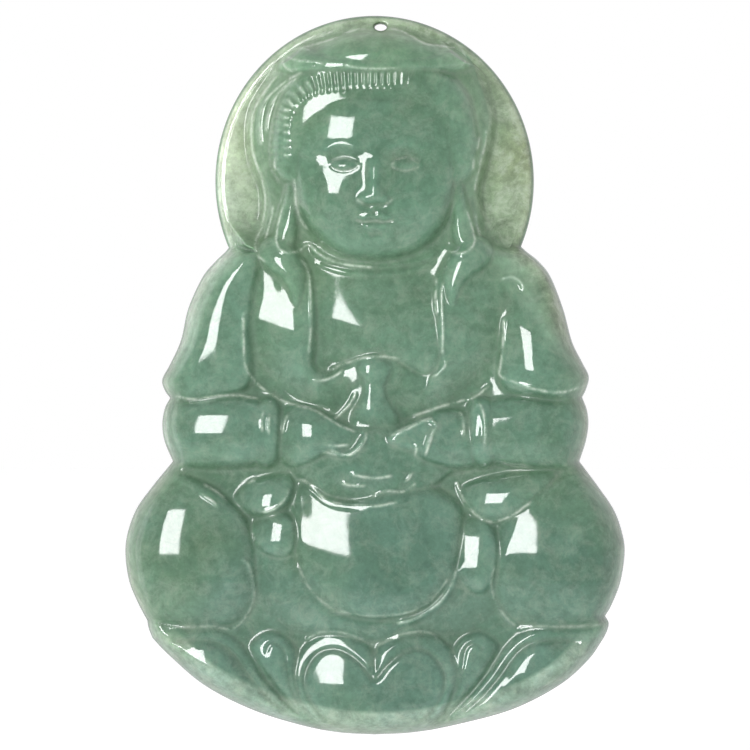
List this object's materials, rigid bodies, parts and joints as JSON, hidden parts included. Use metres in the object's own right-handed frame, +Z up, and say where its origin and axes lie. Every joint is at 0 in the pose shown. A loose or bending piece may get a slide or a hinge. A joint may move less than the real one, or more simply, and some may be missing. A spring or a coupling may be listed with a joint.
{
  "type": "carved jade pendant",
  "caption": "Flat-backed jade pendant carved in relief: a hooded seated figure on a lotus in front of a round halo, drilled near the top for a cord.",
  "frame": {"origin": "middle of the cord hole, halfway through the halo's thickness", "axes": "+Z up as the pendant hangs, along its length; the relief faces -Y and the flat back faces +Y; +X to the right of a viewer who faces the relief"},
  "size_m": [0.0414, 0.0079, 0.0596],
  "materials": {
    "jade": "gloss"
  },
  "bodies": {
    "root": {"carved_pendant": "jade"}
  },
  "joints": []
}
